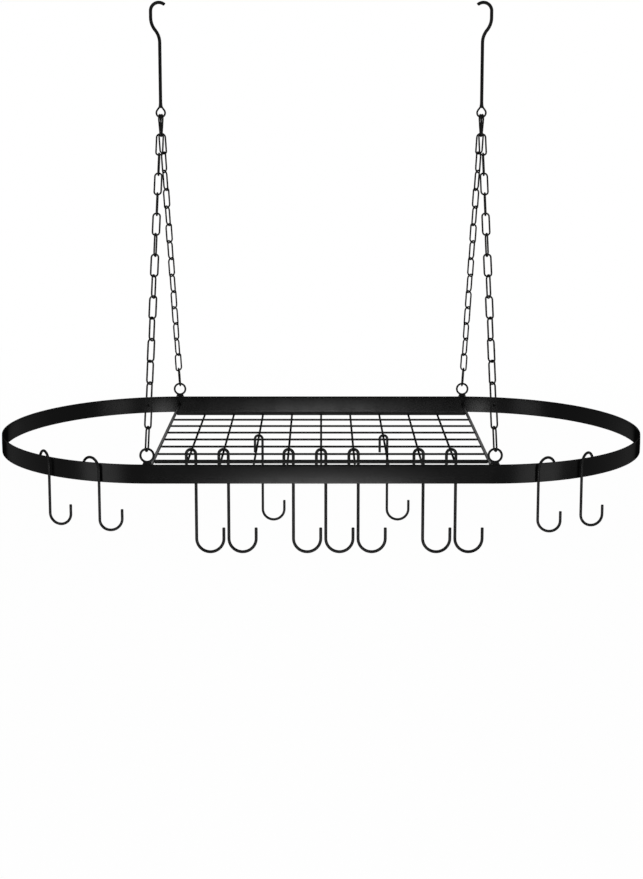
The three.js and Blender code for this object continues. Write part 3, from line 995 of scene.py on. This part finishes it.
@dataclass
class Rail:
    """The oval of flat bar on edge, and the four eyes welded on its top edge.

    Attributes:
        length: the oval's length.
        width: its width.
        height: the bar's height.
        thickness: the bar's thickness.
        corner: the radius of the bar's corners.
        dome: how far the bar's faces bulge.
        eye_wire: the thickness of an eye's wire, as the chains' places count it.
        eye_outer: an eye's outer diameter.
        ring_wire: how thick the eye's wire looks with its coat.
        neck_height: the height of an eye's foot below the ring.
        neck_foot: the foot's width on the bar.
        neck_top: its width at the ring.
        foot_up: how far it goes up into the ring, as a share of the ring's wire.
        foot_rim: how far its lowest section is drawn in, along the bar and across it.
        foot_thin: how much less its half thickness is than the wire's, at its top.
        foot_spread: how much of that it gains on the way down.
        foot_power: how square its sections are.
        touch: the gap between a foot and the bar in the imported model.
        top_z: the height of the bar's top edge, which hang_at sets from the chains.
        eye_centre: the height of the eyes' centres, which it sets too.
        spacing: the distance between the left and the right eyes.
    """

    length: float = 838
    width: float = 432
    height: float = 23
    thickness: float = 2.5
    corner: float = 0.5
    dome: float = 0.18
    eye_wire: float = 2.4
    eye_outer: float = 18.5
    ring_wire: float = 2.8
    neck_height: float = 1.7
    neck_foot: float = 12
    neck_top: float = 9.4
    foot_up: float = 0.6
    foot_rim: tuple[float, float] = (0.2, 0.1)
    foot_thin: float = 0.16
    foot_spread: float = 0.08
    foot_power: float = 2.8
    touch: float = 0.3
    top_z: float = 0.0
    eye_centre: float = 0.0
    spacing: float = 413

    @property
    def line_y(self) -> float:
        """The distance of the bar's middle line from the rack's middle, on its straight sides."""
        return (self.width - self.thickness) / 2

    def hang_at(self, eye_centre: float) -> None:
        """Sets the rail's height from the centre of its eyes."""
        self.eye_centre = eye_centre
        self.top_z = eye_centre - self.eye_outer / 2 - self.neck_height - self.touch

    def band_line(self) -> Centreline:
        """The bar's middle line, once round, at half its height.

        Returns:
            The line, whose last station repeats its first.
        """
        straight = self.length - self.width
        start = np.array([-straight / 2, -self.line_y, self.top_z - self.height / 2])
        half_way = [Run(straight, 16), Bend(self.line_y, 180, 96)]
        return walk(start, X_AXIS, Y_AXIS, half_way * 2)

    def band_profile(self) -> tuple[np.ndarray, np.ndarray]:
        """The bar's section: a rolled flat bar, with quarter-round corners and low domed faces.

        A face at the height v stands dome (1 - (v / b) ** 2) out from the line of its corners,
        where b is the half height of the face. Each corner is its centre + corner radius
        (cos k, sin k).

        Returns:
            The offsets across the bar and up it.
        """
        wide, high = self.thickness / 2 - self.dome, self.height / 2
        face = high - self.corner
        rise = np.linspace(-face, face, 13)[1:-1]
        out = wide + self.dome * (1 - (rise / face) ** 2)
        quarter = np.radians(np.linspace(0, 90, 6))
        arc = self.corner * np.stack([np.cos(quarter), np.sin(quarter)], axis=-1)
        top_right = np.array([wide - self.corner, face]) + arc
        top_left = top_right[::-1] * [-1, 1]
        right = np.stack([out, rise], axis=-1)
        profile = np.vstack([right, top_right, top_left, right[::-1] * [-1, 1]])
        bottom_left = top_right * [-1, -1]
        profile = np.vstack([profile, bottom_left, bottom_left[::-1] * [-1, 1]])
        return profile[:, 0], profile[:, 1]

    def band_surface(self) -> Surface:
        """The whole oval: the section carried once round the middle line.

        Returns:
            The oval's surface.
        """
        line = self.band_line()
        line = Centreline(line.points[:-1], line.headings[:-1], line.sides[:-1])
        across, up = self.band_profile()
        count = len(line.points)
        return swept(line, np.tile(across, (count, 1)), np.tile(up, (count, 1)), True)

    def eye_surface(self) -> Surface:
        """An eye's ring, in the XZ plane about its own centre.

        Returns:
            The ring's surface.
        """
        radius = (self.eye_outer - self.ring_wire) / 2
        line = walk(-Z_AXIS * radius, X_AXIS, Z_AXIS, [Bend(radius, 360, 48)])
        return round_wire(line, self.ring_wire / 2, 14, closed=True)

    def foot_surface(self) -> Surface:
        """An eye's welded foot, which flares from the ring down to the bar's top edge.

        At the share t of its height the half width is w1 + (w0 - w1) (1 - t) ** 2. It is a little
        thinner than the ring's wire, and its lowest section is drawn in, so the weld has a rim.

        Returns:
            The foot's surface, about the centre of the eye.
        """
        share = np.concatenate([[0.0, 0.04], np.linspace(0.12, 1, 9)])
        low = -self.eye_outer / 2 - self.neck_height
        high = -self.eye_outer / 2 + self.eye_wire * self.foot_up
        foot, top = self.neck_foot / 2, self.neck_top / 2
        wide = top + (foot - top) * (1 - share) ** 2
        wide[0] -= self.foot_rim[0]
        deep = self.eye_wire / 2 - self.foot_thin + self.foot_spread * (1 - share)
        deep[0] -= self.foot_rim[1]
        return lofted_neck(low + (high - low) * share, wide, deep, self.foot_power, 24)

    def build(self) -> None:
        """Makes the oval, the rings of the eyes and their feet."""
        add_piece("oval_rail", self.band_surface(), RAIL_COAT, Body.RACK, ["oval_ring"])
        shapes = {"ring": self.eye_surface(), "foot": self.foot_surface()}
        for side in Side:
            for end in End:
                node = f"chain_eye_{side.word}_{end.word}"
                place = np.array(
                    [side.value * self.spacing / 2, end.value * self.line_y, self.eye_centre]
                )
                for part, shape in shapes.items():
                    surface = shape.moved(np.eye(3), place)
                    add_piece(f"{node}_{part}", surface, RAIL_COAT, Body.RACK, [node])


# ---------------------------------------------------------------- grid


@dataclass
class Grid:
    """The welded grid: wires between a front and a rear rod, hung between two side rods.

    Attributes:
        rail: the rail that it hangs in.
        cells_along: its cells along the rack.
        cells_across: its cells across the rack.
        pitch_along: one cell's length along the rack.
        pitch_across: one cell's length across it.
        wire: the thickness of its wires.
        rod: the thickness of its side rods.
        long_rod: how thick the front and the rear rod look, with their tops level with these.
        rod_depth: the rods' middles below the rail's top edge.
        overhang: how far a cross wire goes beyond the middle of the rod above it.
        sink: how far two welded wires are pressed into each other.
        bite: how far a long wire goes into a side rod.
        ease: the rounding of every cut end.
        reach_gap: the gap between a side rod's end and the rail.
        end_facets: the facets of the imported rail's rounded ends, which the side rods meet.
        cross_bead: the half sizes of the weld where two wires cross.
        rod_bead: the same where a wire crosses a rod.
        rod_bead_drop: how far those are below the middle between wire and rod.
        wire_end_bead: the same where a long wire ends on a side rod.
        rod_end_bead: the same where the front or the rear rod ends on a side rod.
        rail_bead: the same where a side rod ends on the rail.
    """

    rail: Rail
    cells_along: int = 10
    cells_across: int = 7
    pitch_along: float = 41.4
    pitch_across: float = 42.4
    wire: float = 2.8
    rod: float = 4.2
    long_rod: float = 5.0
    rod_depth: float = 11.5
    overhang: float = 1.5
    sink: float = 0.4
    bite: float = 0.2
    ease: float = 0.25
    reach_gap: float = 0.3
    end_facets: int = 48
    cross_bead: tuple[float, float, float] = (1.5, 1.5, 0.75)
    rod_bead: tuple[float, float, float] = (1.7, 1.9, 0.9)
    rod_bead_drop: float = 0.35
    wire_end_bead: tuple[float, float, float] = (0.9, 1.6, 1.3)
    rod_end_bead: tuple[float, float, float] = (1.0, 2.2, 1.7)
    rail_bead: tuple[float, float, float] = (2.7, 1.1, 2.6)

    @property
    def rod_z(self) -> float:
        """The height of the rods' middles."""
        return self.rail.top_z - self.rod_depth

    @property
    def cross_z(self) -> float:
        """The height of the cross wires' middles."""
        return self.rod_z - (self.rod + self.wire) / 2 + self.sink

    @property
    def long_z(self) -> float:
        """The height of the long wires' middles."""
        return self.cross_z + self.wire - self.sink

    @property
    def side_x(self) -> float:
        """The distance of the side rods from the middle of the rack."""
        return self.cells_along / 2 * self.pitch_along

    @property
    def side_reach(self) -> float:
        """How far out from the rack's middle a side rod goes before it meets the rail.

        Returns:
            The half chord of the rail's inner circle at the side rod's outer side, less the gap.
        """
        straight = (self.rail.length - self.rail.width) / 2
        inside = self.rail.width / 2 - self.rail.thickness
        inside *= math.cos(math.pi / (2 * self.end_facets))
        beyond = max(0.0, self.side_x + self.rod / 2 - straight)
        return math.sqrt(inside**2 - beyond**2) - self.reach_gap

    @property
    def inner_x(self) -> np.ndarray:
        """The places of the cross wires along the rack."""
        return (np.arange(1, self.cells_along) - self.cells_along / 2) * self.pitch_along

    @property
    def long_y(self) -> np.ndarray:
        """The places of the front rod, the long wires and the rear rod across the rack."""
        return (np.arange(self.cells_across + 1) - self.cells_across / 2) * self.pitch_across

    def straight(self, end: np.ndarray, mirror: list[int], diameter: float) -> Surface:
        """One straight wire with eased ends.

        Args:
            end: where it ends.
            mirror: what the end is multiplied by to give the start.
            diameter: its thickness.

        Returns:
            The wire's surface.
        """
        start = end * mirror
        length = float(np.linalg.norm(end - start))
        line = walk(start, (end - start) / length, Z_AXIS, [Run(length, 10)])
        return cut_wire(line, diameter / 2, 12, self.ease)

    def weld_surface(self) -> Surface:
        """The low weld beads where the wires cross, as one set.

        Returns:
            The beads' shells.
        """
        between = (self.cross_z + self.long_z) / 2
        under_rod = (self.cross_z + self.rod_z) / 2 - self.rod_bead_drop
        rows = [(self.long_y[1:-1], between, self.cross_bead)]
        rows += [(self.long_y[[0, -1]], under_rod, self.rod_bead)]
        beads = [
            bead(np.array([x, y, z]), np.array(half))
            for places, z, half in rows
            for x in self.inner_x
            for y in places
        ]
        return beads[0].joined(beads[1:])

    def side_weld_surface(self, side: Side) -> Surface:
        """The beads on one side rod: one for each long wire and rod, and one at each end.

        Args:
            side: the rod's side.

        Returns:
            The beads' shells.
        """
        middle = side.value * self.side_x
        inside = middle - side.value * self.rod / 2
        ends = (-self.side_reach, self.side_reach)
        rows = [(inside, self.long_y[1:-1], self.long_z, self.wire_end_bead)]
        rows += [(inside, self.long_y[[0, -1]], self.rod_z, self.rod_end_bead)]
        rows += [(middle, ends, self.rod_z, self.rail_bead)]
        beads = [
            bead(np.array([x, y, z]), np.array(half)) for x, places, z, half in rows for y in places
        ]
        return beads[0].joined(beads[1:])

    def build(self) -> None:
        """Makes each wire and rod as a piece of its own, and the welds as three sets."""
        node = ["wire_grid"]
        for number, x in enumerate(self.inner_x, start=1):
            end = np.array([x, self.long_y[-1] + self.overhang, self.cross_z])
            surface = self.straight(end, [1, -1, 1], self.wire)
            add_piece(f"grid_cross_{number:02d}", surface, GRID_COAT, Body.RACK, node)
        for number, y in enumerate(self.long_y, start=1):
            is_rod = y in self.long_y[[0, -1]]
            height = self.rod_z + (self.rod - self.long_rod) / 2 if is_rod else self.long_z
            end = np.array([self.side_x - self.rod / 2 + self.bite, y, height])
            surface = self.straight(end, [-1, 1, 1], self.long_rod if is_rod else self.wire)
            add_piece(f"grid_long_{number:02d}", surface, GRID_COAT, Body.RACK, node)
        add_piece("grid_welds", self.weld_surface(), GRID_COAT, Body.RACK, node)
        for side in Side:
            node = [f"grid_side_rod_{side.word}"]
            end = np.array([side.value * self.side_x, self.side_reach, self.rod_z])
            surface = self.straight(end, [1, -1, 1], self.rod)
            add_piece(f"{node[0]}_wire", surface, SIDE_ROD_COAT, Body.RACK, node)
            welds = self.side_weld_surface(side)
            add_piece(f"{node[0]}_welds", welds, GRID_COAT, Body.RACK, node)


# ---------------------------------------------------------------- loose hooks


@dataclass(frozen=True)
class HookShape:
    """A loose hook of bent wire: tail, crown, shank, lower bend and lip.

    Attributes:
        wire: its thickness.
        crown: the width of its crown, to the middle of the wire.
        mouth: the width of its lower bend.
        shank: the length of its straight shank.
        tail: the length of the straight end behind the crown.
        lip: the length of the straight end beyond the lower bend.
        turn: degrees that the lower bend is turned on the shank.
        ease: the rounding of its two ends.
    """

    wire: float
    crown: float
    mouth: float
    shank: float
    tail: float
    lip: float
    turn: float = 0
    ease: float = 0.45

    def surface(self) -> Surface:
        """The hook about the top of its crown's middle line, with the crown along +X.

        Returns:
            The hook's surface.
        """
        line = walk(
            np.array([-self.crown / 2, 0, -self.crown / 2 - self.tail]),
            Z_AXIS,
            -X_AXIS,
            [
                Run(self.tail, 3),
                Bend(self.crown / 2, -180, 28),
                Run(self.shank, 12),
                Roll(-self.turn),
                Bend(self.mouth / 2, 180, 30),
                Run(self.lip, 3),
            ],
        )
        return cut_wire(line, self.wire / 2, 18, self.ease)


@dataclass
class GridHooks:
    """The hooks on the grid's cross wires: a front row of long ones, and two smaller ones.

    Attributes:
        grid: the grid that they hang on.
        long: the shape of the long ones.
        small: the shape of the smaller ones.
        touch: the gap between a crown and its wire.
        spots: for each hook, its place in cells along and across, and whether it is small.
    """

    grid: Grid
    long: HookShape = HookShape(3.9, 12, 34.9, 111, 22, 14.3)
    small: HookShape = HookShape(3.3, 10, 28.7, 95.4, 18, 12.1)
    touch: float = 0.3
    spots: tuple[tuple[int, int, bool], ...] = (
        (-4, -2, False), (-3, -2, False), (-2, 0, True), (-1, -2, False), (0, -2, False),
        (1, -2, False), (2, 0, True), (3, -2, False), (4, -2, False),
    )  # fmt: skip

    def build(self) -> None:
        """Makes the hooks, each riding on its own body."""
        for number, (along, across, is_small) in enumerate(self.spots, start=1):
            node = f"grid_hook_{number}"
            shape = self.small if is_small else self.long
            above = (self.grid.wire + shape.wire) / 2 + self.touch
            place = np.array(
                [
                    along * self.grid.pitch_along,
                    across * self.grid.pitch_across,
                    self.grid.cross_z + above,
                ]
            )
            surface = shape.surface().moved(np.eye(3), place)
            add_piece(f"{node}_wire", surface, HOOK_COAT, node, [node])


@dataclass(frozen=True)
class RimSpot:
    """Where a short hook hangs: degrees round from the start of a rounded end, and its twist."""

    name: str
    side: Side
    around: float
    turn: float


@dataclass
class RimHooks:
    """The short hooks over the rail's rounded ends, their lower bends turned on the shank.

    Attributes:
        rail: the rail that they hang on.
        shape: a hook's shape, before its lower bend is turned.
        crossing: degrees between a crown and the bar that it crosses.
        touch: the gap between a crown and the bar.
        spots: where each one hangs.
    """

    rail: Rail
    shape: HookShape = HookShape(3.3, 27, 26.6, 60.8, 8, 11.6)
    crossing: float = 18
    touch: float = 0.3
    spots: tuple[RimSpot, ...] = (
        RimSpot("left_outer", Side.LEFT, 38.6, 45),
        RimSpot("left_inner", Side.LEFT, 19.7, 45),
        RimSpot("right_inner", Side.RIGHT, 18.1, 135),
        RimSpot("right_outer", Side.RIGHT, 33.8, 135),
    )

    @property
    def rise(self) -> float:
        """How far a crown that crosses the bar at a slant stands over its top edge.

        Along the crown, at the angle a from its top, the wire is s = radius sin a from the top,
        s sin(crossing) aside of the bar's middle and radius (1 - cos a) lower, and it has to clear
        the bar's corner, which the bar's own curve brings nearer by (s cos(crossing)) ** 2 / 2 R.

        Returns:
            The largest rise that any place along the crown asks for.
        """
        radius, reach = self.shape.crown / 2, self.shape.wire / 2 + self.touch
        angle, slant = np.radians(np.arange(90)), math.radians(self.crossing)
        along = radius * np.sin(angle)
        curve = (along * math.cos(slant)) ** 2 / (2 * self.rail.line_y)
        aside = np.maximum(0, along * math.sin(slant) - curve - self.rail.thickness / 2)
        over = aside < reach
        above = np.sqrt(np.maximum(0, reach**2 - aside**2))
        return float(np.max((above + radius * (1 - np.cos(angle)))[over]))

    def build(self) -> None:
        """Makes the hooks, each riding on its own body."""
        straight = (self.rail.length - self.rail.width) / 2
        for spot in self.spots:
            shape = replace(self.shape, turn=spot.turn).surface()
            angle = math.radians(spot.around)
            sign = spot.side.value
            place = np.array(
                [
                    sign * (straight + self.rail.line_y * math.sin(angle)),
                    -self.rail.line_y * math.cos(angle),
                    self.rail.top_z + self.rise,
                ]
            )
            outward = spot.around + self.crossing
            turn = about_z(-outward if spot.side is Side.LEFT else 180 + outward)
            node = f"rim_hook_{spot.name}"
            add_piece(f"{node}_wire", shape.moved(turn, place), HOOK_COAT, node, [node])


# ---------------------------------------------------------------- studio


@dataclass(frozen=True)
class Lamp:
    """A soft box: its place, what it points at, its width and height, and its power in watts.

    A sheen box shows only in the gloss of the dark coats, so the plain level stays as it is.
    """

    name: str
    place: tuple[float, float, float]
    target: tuple[float, float, float]
    size: tuple[float, float]
    power: float
    sheen: bool = False


@dataclass
class Studio:
    """The pale floor, the soft light and the camera.

    Attributes:
        ring_z: the height of the rail's top edge, in millimetres.
        floor_z: the height of the floor, in metres like all that follows.
        pitch: degrees that the camera looks down.
        focal_px: its focal length in pixels of the picture.
        distance: how far it stands in front of the rack's middle.
        height: how far it stands over the rail's top edge.
        shift_y: its upward shift, as a share of the picture's longer side.
        centre_px: where the rack's middle falls across the picture.
        image: the picture's width and height in pixels.
        ambient: the strength of the world's diffuse light.
        near_share: how far the floor near the rack is plain white to the eye, and not lit.
        far_from: how far away that share starts to rise, and the floor is all plain white.
        floor_tone: the floor's colour where it is lit.
        floor_reach: how far the floor goes out from below the rack.
        lamps: the soft boxes.
    """

    ring_z: float
    floor_z: float = -1.35
    pitch: float = 8.192
    focal_px: float = 1530.8
    distance: float = 1.9899
    height: float = 0.4228
    shift_y: float = -0.13
    centre_px: float = 321.1
    image: tuple[int, int] = (643, 879)
    ambient: float = 0.45
    near_share: float = 0.96
    far_from: tuple[float, float] = (1.6, 6.0)
    floor_tone: float = 0.8
    floor_reach: float = 12.0
    lamps: tuple[Lamp, ...] = (
        Lamp("key_light", (-1.6, -2.2, 1.3), (0, 0, -0.4), (1.6, 1.6), 60),
        Lamp("fill_light", (2.2, -1.6, 0.4), (0, 0, -0.45), (1.8, 1.8), 26),
        Lamp("back_light", (0.2, 2.3, 1.5), (0, 0, -0.4), (1.8, 1.8), 40),
        Lamp("low_box", (0.0, -1.1, -1.05), (0, -0.216, -0.56), (0.28, 0.5), 12, True),
        Lamp("left_box", (-1.04, -1.12, -0.85), (-0.26, -0.21, -0.56), (0.6, 0.9), 12, True),
        Lamp("right_box", (1.02, -1.15, -0.85), (0.26, -0.21, -0.56), (0.7, 0.9), 12.5, True),
    )

    def camera(self) -> None:
        """Sets the camera where the photograph was taken, looking level along +Y and pitched."""
        data = bpy.data.cameras.new("camera")
        data.sensor_width = FILM_WIDTH
        data.lens = self.focal_px / self.image[1] * FILM_WIDTH
        data.shift_y = self.shift_y
        data.shift_x = (self.image[0] / 2 - self.centre_px) / self.image[1]
        data.clip_end = 50
        camera = bpy.data.objects.new("camera", data)
        camera.location = (0, -self.distance, self.height + self.ring_z * MM)
        camera.rotation_euler = (math.radians(90 - self.pitch), 0, 0)
        bpy.context.scene.collection.objects.link(camera)
        bpy.context.scene.camera = camera

    def lights(self) -> None:
        """Hangs the soft boxes, each pointing at its target."""
        for lamp in self.lamps:
            data = bpy.data.lights.new(lamp.name, "AREA")
            data.shape = "RECTANGLE"
            data.size, data.size_y = lamp.size
            data.energy = lamp.power
            light = bpy.data.objects.new(lamp.name, data)
            light.location = lamp.place
            aim = np.array(lamp.target) - np.array(lamp.place)
            flat = math.hypot(aim[0], aim[1])
            light.rotation_euler = (
                math.atan2(flat, -aim[2]), 0, math.atan2(aim[1], aim[0]) - math.pi / 2,
            )  # fmt: skip
            light.visible_camera = False
            light.visible_diffuse = not lamp.sheen
            bpy.context.scene.collection.objects.link(light)

    def _where_seen(
        self, tree: bpy.types.NodeTree, unseen: float, seen: float
    ) -> bpy.types.NodeSocket:
        """A value for what is seen straight, through glass or in gloss, and one for other light.

        Args:
            tree: the node tree of the floor or the world.
            unseen: the value for diffuse light.
            seen: the value for camera, transmission and glossy rays.

        Returns:
            The socket that holds the value.
        """
        path = tree.nodes.new("ShaderNodeLightPath")
        sight = path.outputs["Is Camera Ray"]
        for ray in ("Is Transmission Ray", "Is Glossy Ray"):
            either = tree.nodes.new("ShaderNodeMath")
            either.operation = "MAXIMUM"
            tree.links.new(sight, either.inputs[0])
            tree.links.new(path.outputs[ray], either.inputs[1])
            sight = either.outputs[0]
        value = tree.nodes.new("ShaderNodeMapRange")
        set_range(value, (0.0, 1.0), (unseen, seen))
        tree.links.new(sight, value.inputs["Value"])
        return value.outputs["Result"]

    def world(self) -> None:
        """Makes a world that looks white and lights softly."""
        world = bpy.data.worlds.new("studio_world")
        world.use_nodes = True
        bpy.context.scene.world = world
        tree = world.node_tree
        background = tree.nodes["Background"]
        background.inputs["Color"].default_value = (1, 1, 1, 1)
        strength = self._where_seen(tree, self.ambient, 1.0)
        tree.links.new(strength, background.inputs["Strength"])

    def _white_share(self, tree: bpy.types.NodeTree) -> bpy.types.NodeSocket:
        """How far each place of the floor is plain white, where it is seen: more further away.

        Args:
            tree: the floor's node tree.

        Returns:
            The socket that holds the share.
        """
        place = tree.nodes.new("ShaderNodeTexCoord").outputs["Object"]
        away = tree.nodes.new("ShaderNodeVectorMath")
        away.operation = "LENGTH"
        tree.links.new(place, away.inputs[0])
        share = tree.nodes.new("ShaderNodeMapRange")
        share.interpolation_type = "SMOOTHSTEP"
        set_range(share, self.far_from, (self.near_share, 1.0))
        tree.links.new(away.outputs["Value"], share.inputs["Value"])
        where_seen = tree.nodes.new("ShaderNodeMath")
        where_seen.operation = "MULTIPLY"
        tree.links.new(share.outputs["Result"], where_seen.inputs[0])
        tree.links.new(self._where_seen(tree, 0.0, 1.0), where_seen.inputs[1])
        return where_seen.outputs[0]

    def floor(self) -> None:
        """Lays the pale floor, which keeps a soft shadow and turns plain white far away."""
        material = bpy.data.materials.new("pale_floor")
        material.use_nodes = True
        tree = material.node_tree
        shader = tree.nodes["Principled BSDF"]
        shader.inputs["Base Color"].default_value = (*[self.floor_tone] * 3, 1)
        shader.inputs["Roughness"].default_value = 0.9
        shader.inputs["Specular IOR Level"].default_value = 0.1
        glow = tree.nodes.new("ShaderNodeEmission")
        mix = tree.nodes.new("ShaderNodeMixShader")
        tree.links.new(self._white_share(tree), mix.inputs["Fac"])
        tree.links.new(shader.outputs["BSDF"], mix.inputs[1])
        tree.links.new(glow.outputs["Emission"], mix.inputs[2])
        tree.links.new(mix.outputs[0], tree.nodes["Material Output"].inputs["Surface"])
        mesh = bpy.data.meshes.new("floor")
        corners = np.array([(-1, -1, 0), (1, -1, 0), (1, 1, 0), (-1, 1, 0)]) * self.floor_reach
        corners[:, 2] = self.floor_z
        mesh.from_pydata(corners.tolist(), [], [(0, 1, 2, 3)])
        mesh.materials.append(material)
        floor = bpy.data.objects.new("floor", mesh)
        bpy.context.scene.collection.objects.link(floor)

    def build(self) -> None:
        """Sets up the whole studio."""
        bpy.context.scene.view_settings.view_transform = "Standard"
        self.camera()
        self.lights()
        self.world()
        self.floor()


def main() -> None:
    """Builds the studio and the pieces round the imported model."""
    logging.basicConfig(level=logging.INFO, format="%(name)s %(message)s")
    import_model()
    hooks = CeilingHooks()
    rail = Rail()
    chains = Chains(hooks, rail.line_y, rail.eye_wire, rail.eye_outer)
    rail.hang_at(chains.eye_centre)
    Studio(rail.top_z).build()
    hooks.build()
    chains.build()
    rail.build()
    grid = Grid(rail)
    grid.build()
    GridHooks(grid).build()
    RimHooks(rail).build()


if __name__ == "__main__":
    main()
